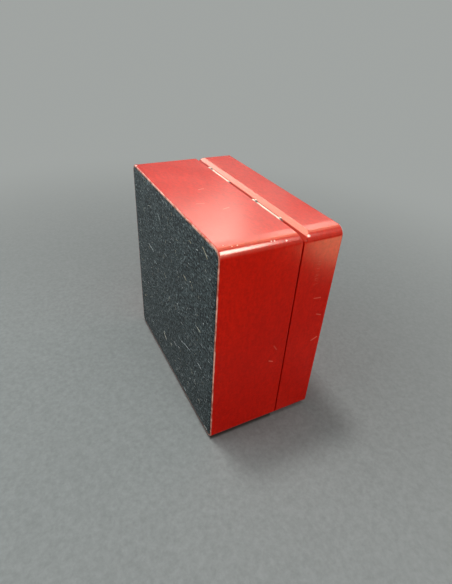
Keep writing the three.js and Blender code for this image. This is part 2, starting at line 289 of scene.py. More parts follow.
def lacquer_material(name, groove_shade_below, worn_below=None, chips_and_glints=(), scratches=(), scuffs=()):
    """Sprayed red lacquer over wood: a hint of the grain, orange peel, the marks it is given, and painted
    shade low in the groove.
    """
    s = Shader(name)
    grain = s.noise(1.0, detail=3, rough=0.6, vector=s.stretched((0, 0, 0), (260, 260, 900)))
    mottle = s.noise(760, detail=3, rough=0.6)
    colour = lacquer_colour(s, grain, mottle)
    if worn_below is not None:
        colour = worn_foot(s, colour, worn_below)
    colour = marked(s, colour, chips_and_glints, scratches, scuffs)
    # Painted shade: the lid's bevel is darkened low in the groove, where shade falls, and its gloss is
    # dulled there too
    low = s.ranged(s.axis("Z"), groove_shade_below, groove_shade_below - GROOVE_SHADE_FADE)
    groove_shade = s.math("MULTIPLY", low, s.ranged(s.axis("Y"), GROOVE_Y, GROOVE_Y + GROOVE_FADE))
    colour = s.mix(s.math("MULTIPLY", groove_shade, 0.9), colour, GROOVE_SHADE_RED)
    body_flat = s.math("LESS_THAN", s.axis("Z"), CROWN_BODY_TOP)
    lid_flat = s.math("GREATER_THAN", s.axis("Z"), CROWN_LID_FOOT)
    flat_part = s.math("MAXIMUM", body_flat, lid_flat)
    top = cad_box[1].z
    handled = s.ranged(s.axis("Z"), top - HANDLED_DEPTH, top - 0.5 * HANDLED_DEPTH)
    rough = s.ranged(s.noise(45, detail=2), 0.3, 0.7, 0.19, 0.235)
    rough = s.math("ADD", rough, s.ranged(handled, 0.0, 1.0, 0.0, HANDLED_ROUGHNESS))
    crown = s.bump(s.ranged(s.axis("X"), -CROWN_END, -CROWN_START), CROWN_DROP, flat_part)
    peel = s.bump(s.noise(230, detail=1), 0.02 * MM, under=crown)
    normal = s.bump(mottle, 0.012 * MM, under=s.bump(grain, 0.006 * MM, under=peel))
    return s.finish(
        Base_Color=colour,
        Roughness=rough,
        Normal=normal,
        IOR=1.5,
        Specular_IOR_Level=lacquer_gloss(s, flat_part, groove_shade, handled),
        Specular_Tint=GLOSS_TINT,
    )


FELT_DARK = (0.013, 0.021, 0.024, 1)
FELT_LIGHT = (0.040, 0.056, 0.058, 1)
FELT_MAT = (0.160, 0.212, 0.218, 1)
FELT_PIT = (0.004, 0.007, 0.008, 1)
FELT_FIBRE = (0.19, 0.225, 0.22, 1)
FELT_FLECK = (0.36, 0.40, 0.38, 1)
FIBRE_TURNS = ((0.3, 0.0), (1.3, 3.0), (2.2, 7.0), (2.9, 11.0))


def felt_material():
    """Dark blue-grey pressed felt: fibres in every direction, dark pits and pale flecks."""
    s = Shader("felt")
    base = s.mix(s.ranged(s.noise(90, detail=3), 0.3, 0.7), FELT_DARK, FELT_LIGHT)
    mat = s.noise(720, detail=3, rough=0.75)
    base = s.mix(s.ranged(mat, 0.52, 0.66), base, FELT_MAT)
    base = s.mix(s.ranged(s.noise(760, detail=2, rough=0.6), 0.54, 0.40), base, FELT_PIT)
    fibres = None
    for turn, shift in FIBRE_TURNS:
        apart = (shift, shift * 1.7, shift * 0.3)
        vector = s.vector("ADD", s.stretched((0, 0, turn), (260, 1500, 1)), apart)
        strand = s.ranged(s.noise(1.0, detail=2, vector=vector, distortion=0.5), 0.62, 0.74)
        fibres = strand if fibres is None else s.math("MAXIMUM", fibres, strand)
    base = s.mix(s.math("MULTIPLY", fibres, 0.55), base, FELT_FIBRE)
    cells = s.node("TexVoronoi", {"Vector": s.place, "Scale": 330.0}, feature="F1")
    near_centre = s.ranged(cells.outputs["Distance"], 0.16, 0.05)
    fleck = s.math("MULTIPLY", near_centre, s.ranged(s.noise(70, detail=2), 0.46, 0.62))
    base = s.mix(fleck, base, FELT_FLECK)
    height = s.math("ADD", s.math("MULTIPLY", mat, 0.7), s.math("MULTIPLY", fibres, 0.5))
    return s.finish(
        Base_Color=base,
        Roughness=0.95,
        Normal=s.bump(height, 0.15 * MM),
        Specular_IOR_Level=0.15,
        Sheen_Weight=0.05,
        Sheen_Roughness=0.5,
    )


LINT_STOPS = (
    (0.0, (0.55, 0.60, 0.58, 1)),
    (0.45, (0.30, 0.36, 0.36, 1)),
    (0.7, (0.80, 0.82, 0.76, 1)),
    (0.9, (0.62, 0.56, 0.36, 1)),
)
LINT_SHADE = (0.22, 0.25, 0.25, 1)


def lint_material():
    """Pale fibres, each with a shade of its own."""
    s = Shader("lint")
    which = s.node("NewGeometry").outputs["Random Per Island"]
    ramp = s.node("ValToRGB", {"Fac": which})
    first, second = ramp.color_ramp.elements
    first.color = LINT_STOPS[0][1]
    second.position, second.color = LINT_STOPS[1]
    for where, colour in LINT_STOPS[2:]:
        ramp.color_ramp.elements.new(where).color = colour
    patchy = s.ranged(s.noise(900), 0.35, 0.65, 0, 0.4)
    shade = s.mix(patchy, ramp.outputs["Color"], LINT_SHADE)
    return s.finish(Base_Color=shade, Roughness=0.7, Specular_IOR_Level=0.3)


def velvet_material():
    """Near-black velvet: short pile brushed in drifts, with a soft rim of sheen."""
    s = Shader("velvet")
    drift = s.noise(120, detail=4, rough=0.6, distortion=0.8)
    base = s.mix(s.ranged(drift, 0.3, 0.7), (0.010, 0.011, 0.013, 1), (0.030, 0.031, 0.036, 1))
    pile = s.noise(2600, detail=2, rough=0.7)
    base = s.mix(s.ranged(pile, 0.45, 0.75, 0, 0.6), base, (0.060, 0.062, 0.070, 1))
    tilt = s.bump(s.noise(260, detail=3), 0.15 * MM)
    normal = s.bump(pile, 0.10 * MM, under=tilt)
    return s.finish(
        Base_Color=base,
        Roughness=0.9,
        Normal=normal,
        Specular_IOR_Level=0.1,
        Sheen_Weight=0.6,
        Sheen_Roughness=0.35,
        Sheen_Tint=(0.55, 0.57, 0.65, 1),
    )


def metal_material():
    """Bright nickel plate, faintly yellow, with fine drawn lines and dull blotches."""
    s = Shader("nickel")
    blotch = s.noise(280, detail=2)
    base = s.mix(s.ranged(blotch, 0.35, 0.7), (0.37, 0.32, 0.28, 1), (0.26, 0.22, 0.19, 1))
    lines = s.noise(1.0, detail=2, vector=s.stretched((0, 0, 0), (160, 3000, 3000)))
    rough = s.ranged(s.math("ADD", blotch, s.math("MULTIPLY", lines, 0.5)), 0.5, 1.1, 0.40, 0.55)
    return s.finish(Base_Color=base, Roughness=rough, Normal=s.bump(lines, 0.003 * MM), Metallic=1.0)


def mirror_material():
    """Silvered glass with a little dust."""
    s = Shader("mirror_glass")
    dust = s.noise(700, detail=5, rough=0.7)
    rough = s.ranged(dust, 0.45, 0.8, 0.015, 0.09)
    clouds = s.ranged(s.noise(90, detail=2), 0.3, 0.7)
    tint = s.mix(clouds, (0.86, 0.88, 0.88, 1), (0.90, 0.92, 0.91, 1))
    return s.finish(Base_Color=tint, Roughness=rough, Metallic=1.0)


def add_object(name, bm, material, smooth=True):
    mesh = bpy.data.meshes.new(name)
    bmesh.ops.recalc_face_normals(bm, faces=bm.faces)
    bm.to_mesh(mesh)
    bm.free()
    made = bpy.data.objects.new(name, mesh)
    bpy.context.scene.collection.objects.link(made)
    if material is not None:
        mesh.materials.append(material)
    for face in mesh.polygons:
        face.use_smooth = smooth
    return made


def rounded_outline(half_x, half_y, radius):
    points = []
    for side_x, side_y, start in ((1, -1, -90), (1, 1, 0), (-1, 1, 90), (-1, -1, 180)):
        for i in range(CORNER_SEGMENTS + 1):
            a = math.radians(start + 90 * i / CORNER_SEGMENTS)
            x = side_x * (half_x - radius) + radius * math.cos(a)
            points.append((x, side_y * (half_y - radius) + radius * math.sin(a)))
    return points


def prism(lower, upper):
    """A closed solid between two outlines of as many 3-D points."""
    bm = bmesh.new()
    low = [bm.verts.new(p) for p in lower]
    high = [bm.verts.new(p) for p in upper]
    bm.faces.new(low)
    bm.faces.new(high)
    for i in range(len(low)):
        j = (i + 1) % len(low)
        bm.faces.new((low[i], low[j], high[j], high[i]))
    return bm


def upright_prism(outline, z0, z1):
    return prism([(x, y, z0) for x, y in outline], [(x, y, z1) for x, y in outline])


def bar_along_x(outline, x0, x1):
    """A closed bar whose outline is in the YZ plane."""
    return prism([(x0, y, z) for y, z in outline], [(x1, y, z) for y, z in outline])


def block_along_x(x0, x1, y0, y1, z0, z1):
    low, high = min(z0, z1), max(z0, z1)
    return bar_along_x([(y0, low), (y1, low), (y1, high), (y0, high)], x0, x1)


def carve(target, tools):
    """Cuts closed meshes out of an object, exactly, and keeps the result as its mesh."""
    cutters = [add_object(f"cutter_{i}", bm, None, smooth=False) for i, bm in enumerate(tools)]
    for cutter in cutters:
        cut = target.modifiers.new("cut", "BOOLEAN")
        cut.operation = "DIFFERENCE"
        cut.solver = "EXACT"
        cut.object = cutter
    graph = bpy.context.evaluated_depsgraph_get()
    mesh = bpy.data.meshes.new_from_object(target.evaluated_get(graph))
    target.modifiers.clear()
    target.data = mesh
    for cutter in cutters:
        bpy.data.objects.remove(cutter)


def in_hinge_slot(p):
    near = any(abs(p.x - x) < HINGE_HALF_SLOT + 0.05 * MM for x in HINGE_PLACES)
    return near and p.y > MORTISE_Y - 0.05 * MM


def round_edges(skin, outer_z):
    """Rounds a skin's sharp edges: most on its outer end, finely elsewhere, not in the hinge slots."""
    bm = bmesh.new()
    bm.from_mesh(skin.data)
    bmesh.ops.remove_doubles(bm, verts=bm.verts, dist=0.002 * MM)
    bmesh.ops.dissolve_limit(bm, angle_limit=math.radians(0.5), verts=bm.verts, edges=bm.edges)
    layers = bm.edges.layers.float
    weight = layers.get("bevel_weight_edge") or layers.new("bevel_weight_edge")
    for edge in bm.edges:
        if len(edge.link_faces) != 2 or edge.calc_face_angle() < math.radians(20):
            continue
        a, b = edge.verts[0].co, edge.verts[1].co
        if in_hinge_slot(a) and in_hinge_slot(b):
            continue
        outer = abs(a.z - outer_z) < 0.01 * MM and abs(b.z - outer_z) < 0.01 * MM
        edge[weight] = 1.0 if outer else FINE_EDGE_SHARE
    bm.to_mesh(skin.data)
    bm.free()
    for face in skin.data.polygons:
        face.use_smooth = True
    bevel = skin.modifiers.new("edges", "BEVEL")
    bevel.width = EDGE_ROUNDING
    bevel.segments = 3
    bevel.limit_method = "WEIGHT"
    bevel.use_clamp_overlap = False
    bevel.harden_normals = False
    normals = skin.modifiers.new("normals", "WEIGHTED_NORMAL")
    normals.keep_sharp = True
    normals.weight = 100


def make_shell(name, outer_z, rim_z, hollow_z, thickness, bevel_height, pockets, cad_nodes, body):
    """The boards of one half as one painted skin, from its closed end to its rim."""
    half_x = cad_box[1].x
    half_y = cad_box[1].y
    into = math.copysign(1, outer_z - rim_z)
    outline = rounded_outline(half_x, half_y, CORNER_RADIUS)
    made = add_object(name, upright_prism(outline, min(outer_z, rim_z), max(outer_z, rim_z)), None)
    open_z = rim_z - into * OVERRUN
    inner = half_x - thickness
    groove = half_y - BEVEL_DEPTH
    slope = bevel_height / BEVEL_DEPTH
    reach = half_x + OVERRUN
    past_back = half_y + OVERRUN
    wedge = [
        (groove, rim_z),
        (past_back, rim_z + into * slope * (BEVEL_DEPTH + OVERRUN)),
        (past_back, open_z),
        (groove, open_z),
    ]
    tools = [
        block_along_x(-inner, inner, -inner, inner, hollow_z, open_z),
        bar_along_x(wedge, -reach, reach),
    ]
    for x in HINGE_PLACES:
        ends = (x - HINGE_HALF_SLOT, x + HINGE_HALF_SLOT)
        for from_y, depth in ((MORTISE_Y, MORTISE_DEPTH), (BARREL_Y, BARREL_DEPTH)):
            tools.append(block_along_x(*ends, from_y, past_back, rim_z + into * depth, open_z))
    for x in pockets:
        ends = (x, x + LUG_POCKET_WIDTH)
        pocket_z = rim_z + into * LUG_POCKET_DEPTH
        tools.append(block_along_x(*ends, LUG_POCKET_Y, past_back, pocket_z, open_z))
    carve(made, tools)
    round_edges(made, outer_z)
    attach(made, body)
    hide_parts(*cad_nodes)
    return made


def touch(thing, px, py):
    """The point of an object that the photograph shows at a pixel."""
    bpy.context.view_layer.update()
    hit, point, _, _ = thing.ray_cast(EYE, pixel_ray(px, py))
    if not hit:
        raise ValueError(f"nothing of {thing.name} is seen at {px}, {py}")
    return point


# Pixels of the photograph with what is seen there: a chip's or painted glint's radius in mm, a mark's
# strength
BODY_CHIPS_AND_GLINT = (
    # The first entry is a painted glint on the far top corner, not a chip; the rest are chips
    (136.2, 165.6, 0.6),
    (223.0, 245.5, 0.15),
    (232.0, 246.6, 0.3),
    (237.5, 245.2, 0.35),
    (249.0, 243.0, 0.15),
    (271.0, 241.0, 0.3),
    (274.5, 240.6, 0.4),
    (279.0, 241.5, 0.15),
    (286.5, 240.6, 0.35),
)
# Painted highlights: pale spots where the lid's bevel meets its rounded corner, drawn like chips
LID_PAINTED_GLINTS = (
    (309.0, 236.0, 0.7),
    (306.5, 240.5, 0.4),
)
BODY_SCRATCHES = (
    ((198.5, 189.6), (203.5, 188.6), 0.42),
    ((196.5, 203.8), (204.5, 203.2), 0.30),
    ((223.5, 209.0), (229.0, 207.2), 0.30),
    ((274.0, 346.0), (276.5, 349.5), 0.22),
    ((269.0, 361.0), (272.5, 361.4), 0.42),
)
LID_SCRATCHES = (
    ((311.0, 340.3), (316.5, 336.6), 0.50),
    ((316.5, 314.0), (320.5, 314.6), 0.30),
    ((314.0, 298.4), (320.5, 297.4), 0.25),
)
LID_SCUFFS = (((319.5, 263.0), (315.5, 284.0), 0.35),)


def spots(thing, marks):
    return [(touch(thing, px, py), size * MM) for px, py, size in marks]


def lines(thing, marks):
    return [(touch(thing, *start), touch(thing, *end), strength) for start, end, strength in marks]


def make_lacquered_boards():
    """Both lacquered skins with their marks. Gives back the body's."""
    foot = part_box("bottom_board")[0].z
    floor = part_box("bottom_board")[1].z
    body_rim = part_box("front_wall")[1].z
    lid_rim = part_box("lid_front_rail")[0].z
    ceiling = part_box("lid_front_rail")[1].z
    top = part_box("lid_top")[1].z
    body = make_shell(
        "lacquered_body", foot, body_rim, floor, WALL_THICKNESS, BODY_BEVEL_HEIGHT, LUG_POCKET_PLACES,
        ["bottom_board", "front_wall", "back_wall", "left_wall", "right_wall"], "case",
    )
    lid = make_shell(
        "lacquered_lid", top, lid_rim, ceiling, LID_RAIL_THICKNESS, LID_BEVEL_HEIGHT, (),
        ["lid_top", "lid_front_rail", "lid_back_rail", "lid_left_rail", "lid_right_rail"], "lid",
    )
    body.data.materials.append(lacquer_material(
        "red_lacquer_body", foot, foot + WORN_HEIGHT,
        chips_and_glints=spots(body, BODY_CHIPS_AND_GLINT), scratches=lines(body, BODY_SCRATCHES),
    ))
    lid.data.materials.append(lacquer_material(
        "red_lacquer_lid", LID_GROOVE_SHADE_TOP,
        chips_and_glints=spots(lid, LID_PAINTED_GLINTS), scratches=lines(lid, LID_SCRATCHES), scuffs=lines(lid, LID_SCUFFS),
    ))
    return body


FELT_CELLS = 124
FELT_PRESSED_WIDTH = 2.4 * MM
FELT_PRESSED_BY = 0.48 * MM
FELT_WAVE = 0.03 * MM


def felt_height(x, y, half, radius):
    """How far the felt's face is pulled in near its edge, and its slight unevenness."""
    to_edge = min(half - abs(x), half - abs(y))
    corner = half - radius
    if abs(x) > corner and abs(y) > corner:
        to_edge = min(to_edge, radius - math.hypot(abs(x) - corner, abs(y) - corner))
    lift = FELT_PRESSED_BY * max(0.0, 1 - max(0.0, to_edge) / FELT_PRESSED_WIDTH) ** 1.15
    wave = noise.noise(Vector((x, y, 0)) * 180) * FELT_WAVE
    return lift + FELT_WAVE + wave


def make_felt():
    """The felt under the base: a soft-edged sheet with the case's round corners."""
    low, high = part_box("base_felt")
    half = high.x
    radius = CORNER_RADIUS - (cad_box[1].x - half)
    count = FELT_CELLS
    bm = bmesh.new()
    rows = []
    corner = half - radius
    for i in range(count + 1):
        row = []
        for j in range(count + 1):
            x = -half + 2 * half * i / count
            y = -half + 2 * half * j / count
            u = (abs(x) - corner) / radius
            v = (abs(y) - corner) / radius
            if u > 0 and v > 0:
                x = math.copysign(corner + radius * u * math.sqrt(1 - v * v / 2), x)
                y = math.copysign(corner + radius * v * math.sqrt(1 - u * u / 2), y)
            row.append(bm.verts.new((x, y, low.z + felt_height(x, y, half, radius))))
        rows.append(row)
    for i in range(count):
        for j in range(count):
            bm.faces.new((rows[i][j], rows[i][j + 1], rows[i + 1][j + 1], rows[i + 1][j]))
    rim = (
        [rows[i][0] for i in range(count)]
        + [rows[count][j] for j in range(count)]
        + [rows[i][count] for i in range(count, 0, -1)]
        + [rows[0][j] for j in range(count, 0, -1)]
    )
    upper = [bm.verts.new((v.co.x, v.co.y, high.z)) for v in rim]
    for i in range(len(rim)):
        j = (i + 1) % len(rim)
        bm.faces.new((rim[i], rim[j], upper[j], upper[i]))
    bm.faces.new(upper)
    felt = add_object("felt_base", bm, felt_material())
    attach(felt, "case")
    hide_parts("base_felt")
    return felt


TUBE_SIDES = ((1, 0), (0, 1), (-1, 0), (0, -1))


def add_tube(bm, points, radius):
    """A thin four-sided tube along points, thinner at its ends."""
    rings = []
    for i, p in enumerate(points):
        before = points[max(0, i - 1)]
        after = points[min(len(points) - 1, i + 1)]
        along = (after - before).normalized()
        side = along.cross(Vector((0, 0, 1))).normalized()
        over = side.cross(along)
        thin = radius * (0.55 if i in (0, len(points) - 1) else 1.0)
        rings.append([bm.verts.new(p + (side * a + over * b) * thin) for a, b in TUBE_SIDES])
    for a, b in zip(rings, rings[1:]):
        for k in range(4):
            bm.faces.new((a[k], a[(k + 1) % 4], b[(k + 1) % 4], b[k]))
    bm.faces.new(rings[0])
    bm.faces.new(rings[-1])


def fibre_path(start, end, bend, level):
    """Points from start to end with a sideways bow, just under the felt's face."""
    flat_start = Vector((start.x, start.y, level))
    flat_end = Vector((end.x, end.y, level))
    along = flat_end - flat_start
    side = along.cross(Vector((0, 0, 1)))
    path = []
    for i in range(FIBRE_STEPS + 1):
        t = i / FIBRE_STEPS
        path.append(flat_start + along * t + side * (bend * 4 * t * (1 - t)))
    return path


# Pixels of the photograph where lint lies on the felt: fibres with ends, bow and radius in mm,
# and specks with their size in mm
SEEN_FIBRES = (
    ((157.0, 212.7), (161.0, 226.1), 0.14, 0.07),
    ((148.4, 243.0), (153.9, 252.0), 0.05, 0.09),
    ((202.6, 246.6), (207.7, 259.6), 0.03, 0.09),
    ((154.8, 260.9), (156.8, 264.5), 0.0, 0.08),
    ((183.4, 274.7), (186.5, 281.0), 0.05, 0.06),
    ((162.6, 199.6), (163.7, 204.0), 0.1, 0.06),
    ((171.2, 212.4), (171.5, 215.6), 0.0, 0.08),
    ((164.0, 331.0), (166.8, 339.8), -0.06, 0.09),
    ((174.0, 340.7), (176.4, 346.0), 0.04, 0.07),
    ((181.1, 340.7), (190.7, 351.7), 0.04, 0.10),
    ((196.5, 326.4), (200.3, 332.6), 0.04, 0.07),
    ((200.8, 343.6), (203.2, 347.9), -0.04, 0.09),
    ((197.4, 362.7), (201.2, 369.4), 0.08, 0.09),
    ((196.0, 370.9), (194.5, 374.7), -0.08, 0.10),
    ((184.0, 386.6), (186.0, 391.4), 0.03, 0.08),
    ((204.1, 424.9), (207.4, 430.0), 0.02, 0.09),
    ((196.0, 249.8), (198.0, 250.9), 0.2, 0.07),
)
SEEN_SPECKS = (
    (144.3, 208.2, 0.18), (151.4, 267.6, 0.20), (210.0, 279.4, 0.26),
    (190.5, 282.1, 0.22), (187.6, 284.3, 0.18), (145.9, 295.0, 0.26),
    (155.0, 292.8, 0.20), (188.7, 263.6, 0.16), (177.5, 303.9, 0.18),
    (178.3, 312.5, 0.14), (153.4, 321.6, 0.22), (192.2, 334.0, 0.16),
    (203.6, 323.5, 0.20), (193.1, 397.2, 0.14), (200.3, 300.5, 0.14),
)
FINE_FIBRES = 420
FINE_LENGTHS = (0.5, 0.7, 0.9, 1.2, 1.8, 3.0)
FIBRE_STEPS = 6


def make_lint(felt):
    """Lint on the felt: the fibres that the photograph shows, and finer ones all over."""
    low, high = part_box("base_felt")
    level = low.z - 0.01 * MM
    half = high.x - 3 * MM
    bm = bmesh.new()
    for a, b, bend, radius in SEEN_FIBRES:
        add_tube(bm, fibre_path(touch(felt, *a), touch(felt, *b), bend, level), radius * MM)
    for px, py, size in SEEN_SPECKS:
        centre = touch(felt, px, py)
        turn = draw.uniform(0, math.tau)
        reach = Vector((math.cos(turn), math.sin(turn), 0)) * size * 1.6 * MM
        add_tube(bm, fibre_path(centre - reach, centre + reach, 0.3, level), size * 0.7 * MM)
    for _ in range(FINE_FIBRES):
        start = Vector((draw.uniform(-half, half), draw.uniform(-half, half), 0))
        turn = draw.uniform(0, math.tau)
        length = draw.choice(FINE_LENGTHS) * MM
        end = start + Vector((math.cos(turn), math.sin(turn), 0)) * length
        thin = draw.uniform(0.025, 0.055) * MM
        add_tube(bm, fibre_path(start, end, draw.uniform(-0.2, 0.2), level + 0.03 * MM), thin)
    lint = add_object("felt_lint", bm, lint_material())
    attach(lint, "case")


def soft_block(name, low, high, radius, crown, step, material, top_down=False):
    """A padded block in a CAD box: round edges, a crowned face and a slightly uneven cover."""
    size = high - low
    half = size / 2
    centre = (low + high) / 2
    counts = [max(4, round(size[k] / step)) for k in range(3)]
    bm = bmesh.new()
    seen = {}

    def place(i, j, k):
        key = (i, j, k)
        if key not in seen:
            p = Vector([(2 * n / counts[a] - 1) * half[a] for a, n in enumerate(key)])
            q = Vector([max(-(half[a] - radius), min(half[a] - radius, p[a])) for a in range(3)])
            out = p - q
            if out.length > radius:
                p = q + out.normalized() * radius
            seen[key] = bm.verts.new(p)
        return seen[key]

    for axis in range(3):
        a, b = [x for x in range(3) if x != axis]
        for end in (0, counts[axis]):
            for i in range(counts[a]):
                for j in range(counts[b]):
                    loop = []
                    for di, dj in ((0, 0), (1, 0), (1, 1), (0, 1)):
                        key = [0, 0, 0]
                        key[axis], key[a], key[b] = end, i + di, j + dj
                        loop.append(place(*key))
                    bm.faces.new(loop)
    flip = -1 if top_down else 1
    for v in bm.verts:
        p = v.co.copy()
        share = (p.z * flip / half.z + 1) / 2
        if crown:
            dome = (1 - (p.x / half.x) ** 2) * (1 - (p.y / half.y) ** 2)
            p.z -= flip * share * crown * (1 - dome ** 0.6)
        wave = noise.noise(Vector((p.x, p.y, p.z)) * 140 + centre * 300) * 0.5 + 0.5
        for a in range(3):
            if abs(p[a]) > half[a] - radius:
                p[a] -= math.copysign(wave * 0.10 * MM, p[a])
        v.co = p + centre
    return add_object(name, bm, material)


ROLL_STATIONS = 72
ROLL_AROUND = 28
ROLL_DOME = 2.6 * MM
ROLL_SLACK = 0.12 * MM
ROLL_WRINKLE = 0.10 * MM
ROLL_INSET = 0.18 * MM
SQUARE_FOOT = 0.45


def make_ring_roll(node, material, number):
    """One stuffed velvet roll: round over the top, square at the foot, with domed ends and some slack."""
    low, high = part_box(node)
    half = (high.y - low.y) / 2
    middle = (high.y + low.y) / 2
    hip = high.z - half
    centre_z = (low.z + high.z) / 2
    bm = bmesh.new()
    rings = []
    for i in range(ROLL_STATIONS + 1):
        t = i / ROLL_STATIONS
        ease = 0.5 - 0.5 * math.cos(math.pi * t)
        x = low.x + (high.x - low.x) * (0.35 * t + 0.65 * ease)
        from_end = min(x - low.x, high.x - x)
        pinch = math.sqrt(max(0.0, 1 - (1 - min(1.0, from_end / ROLL_DOME)) ** 2))
        slack = noise.noise(Vector((x * 90, number * 3.1, 0))) * ROLL_SLACK
        ring = []
        for k in range(ROLL_AROUND):
            a = math.tau * k / ROLL_AROUND
            c, s = math.cos(a), math.sin(a)
            y = half * math.copysign(abs(c) ** (1.0 if s > 0 else SQUARE_FOOT), c)
            z = hip + half * s if s > 0 else low.z + (hip - low.z) * (1 - abs(s) ** SQUARE_FOOT)
            wrinkle = noise.noise(Vector((x * 260, a * 2.2, number * 7.7))) * ROLL_WRINKLE
            shrink = ROLL_INSET - slack - wrinkle
            y_in = math.copysign(max(0.0, abs(y) - shrink), y)
            z_in = z - shrink * max(0.0, s)
            if z_in > centre_z:
                z_out = centre_z + (z_in - centre_z) * (0.35 + 0.65 * pinch)
            else:
                z_out = low.z + (z_in - low.z) * (0.6 + 0.4 * pinch)
            ring.append(bm.verts.new((x, middle + y_in * (0.25 + 0.75 * pinch), z_out)))
        rings.append(ring)
    for a, b in zip(rings, rings[1:]):
        for k in range(ROLL_AROUND):
            j = (k + 1) % ROLL_AROUND
            bm.faces.new((a[k], a[j], b[j], b[k]))
    bm.faces.new(rings[0])
    bm.faces.new(rings[-1])
    return add_object(f"velvet_{node}", bm, material)


def make_velvet():
    """The lining of both halves: padded boards, a soft floor, stuffed ring rolls and a divider."""
    material = velvet_material()
    padded = []
    for number in range(1, 5):
        node = f"ring_roll_{number}"
        padded.append((make_ring_roll(node, material, number), node, "case", 0.8))
    for node, radius, crown, body, fill, step in (
        ("floor_pad", 0.8, 0.5, "case", 0.5, 1.6),
        ("divider", 0.9, 0.0, "case", 0.9, 1.2),
        ("front_liner", 0.8, 0.0, "case", 0.9, 1.2),
        ("back_liner", 0.8, 0.0, "case", 0.9, 1.2),
        ("left_liner", 0.8, 0.0, "case", 0.9, 1.2),
        ("right_liner", 0.8, 0.0, "case", 0.9, 1.2),
        ("lid_lining", 0.9, 0.3, "lid", 0.6, 1.6),
    ):
        low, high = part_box(node)
        made = soft_block(
            f"velvet_{node}", low, high, radius * MM, crown * MM, step * MM, material,
            top_down=node == "lid_lining",
        )
        padded.append((made, node, body, fill))
    for made, node, body, fill in padded:
        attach(made, body)
        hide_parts(node)


def dress_cad_nodes():
    """Materials for the CAD nodes that stay: hinges, pins, screws and the mirror."""
    nickel = metal_material()
    silver = mirror_material()
    for name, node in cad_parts.items():
        if name.startswith("hinge_"):
            finish = nickel
        elif name == "mirror":
            finish = silver
        else:
            continue
        node.data.materials.clear()
        node.data.materials.append(finish)


FLOOR_COLOUR = (0.201, 0.213, 0.206)
FLOOR_GRAIN = 0.12
# Painted contact shadow on the upright floor: its colour, width, strength, and its share beside the lid
CONTACT_SHADOW_COLOUR = (0.03, 0.025, 0.02, 1)
CONTACT_SHADOW_DEPTH = 3.4 * MM
CONTACT_SHADOW_STRENGTH = 0.85
LID_CONTACT_SHADOW_SHARE = 0.45
BACKDROP_COLOUR = (0.355, 0.373, 0.362)
FADE_FROM = 0.06
FADE_TO = 0.45
FLOOR_GAP = 0.3 * MM
FLOOR_REACH = 30.0
AMBIENT_COLOUR = (0.98, 0.99, 1.0, 1)
AMBIENT_STRENGTH = 0.19


def painted_contact_shadow(s):
    """A painted contact shadow: a narrow dark band where the case meets the upright floor, faint beside
    the lid.
    """
    centre = (cad_box[0] + cad_box[1]) / 2
    beside = s.math("SUBTRACT", s.math("ABSOLUTE", s.axis("X")), cad_box[1].x)
    beyond = s.math("ABSOLUTE", s.math("SUBTRACT", s.axis("Z"), centre.z))
    outside = s.math("MAXIMUM", beside, s.math("SUBTRACT", beyond, centre.z))
    inside = s.ranged(outside, 0.2 * MM, -1.6 * MM, 0.0, CONTACT_SHADOW_STRENGTH)
    ring = s.math("MULTIPLY", inside, s.ranged(outside, -CONTACT_SHADOW_DEPTH, -2.2 * MM))
    near_side = s.math("LESS_THAN", s.axis("X"), cad_box[0].x + CONTACT_SHADOW_DEPTH)
    near_side = s.math("MULTIPLY", near_side, LID_CONTACT_SHADOW_SHARE)
    under_body = s.math("LESS_THAN", s.axis("Z"), CROWN_BODY_TOP)
    return s.math("MULTIPLY", ring, s.math("MAXIMUM", near_side, under_body))


def floor_material(name, is_upright):
    """A matt floor with one face: from behind it isn't there. Far off it fades to the backdrop."""
    s = Shader(name)
    s.tree.nodes.remove(s.surface)
    grain = s.ranged(s.noise(420, detail=4, rough=0.7), 0.3, 0.7, smooth=False)
    light = tuple(c * (1 + FLOOR_GRAIN) for c in FLOOR_COLOUR) + (1,)
    dark = tuple(c * (1 - FLOOR_GRAIN) for c in FLOOR_COLOUR) + (1,)
    colour = s.mix(grain, dark, light)
    if is_upright:
        # Painted contact shadow where the case stands on this floor
        colour = s.mix(painted_contact_shadow(s), colour, CONTACT_SHADOW_COLOUR)
    matt = s.node("BsdfDiffuse", {"Color": colour}).outputs[0]
    glow = s.node("Emission", {"Color": BACKDROP_COLOUR + (1,), "Strength": 1.0}).outputs[0]
    far = s.ranged(s.vector("LENGTH", s.place, output="Value"), FADE_FROM, FADE_TO)
    matt = s.node("MixShader", {0: far, 1: matt, 2: glow}).outputs[0]
    clear = s.node("BsdfTransparent").outputs[0]
    behind = s.node("NewGeometry").outputs["Backfacing"]
    path = s.node("LightPath").outputs
    hidden = s.math("MAXIMUM", behind, path["Is Shadow Ray"])
    if not is_upright:
        hidden = s.math("MAXIMUM", hidden, path["Is Diffuse Ray"])
        hidden = s.math("MAXIMUM", hidden, path["Is Glossy Ray"])
    mixed = s.node("MixShader", {0: hidden, 1: matt, 2: clear}).outputs[0]
    s.tree.links.new(mixed, s.tree.nodes["Material Output"].inputs["Surface"])
    return s.material


def add_floor(name, corners, is_upright):
    bm = bmesh.new()
    bm.faces.new([bm.verts.new(p) for p in corners])
    mesh = bpy.data.meshes.new(name)
    bm.to_mesh(mesh)
    bm.free()
    floor = bpy.data.objects.new(name, mesh)
    mesh.materials.append(floor_material(name, is_upright))
    bpy.context.scene.collection.objects.link(floor)


def make_floors():
    """The photograph's floor under the case's front face, and one under its base for other views."""
    wide = FLOOR_REACH
    front = cad_box[0].y - FLOOR_GAP
    foot = cad_box[0].z - FLOOR_GAP
    upright = [(-wide, front, -wide), (-wide, front, wide), (wide, front, wide), (wide, front, -wide)]
    level = [(-wide, -wide, foot), (wide, -wide, foot), (wide, wide, foot), (-wide, wide, foot)]
    add_floor("photo_floor", upright, True)
    add_floor("shelf_floor", level, False)


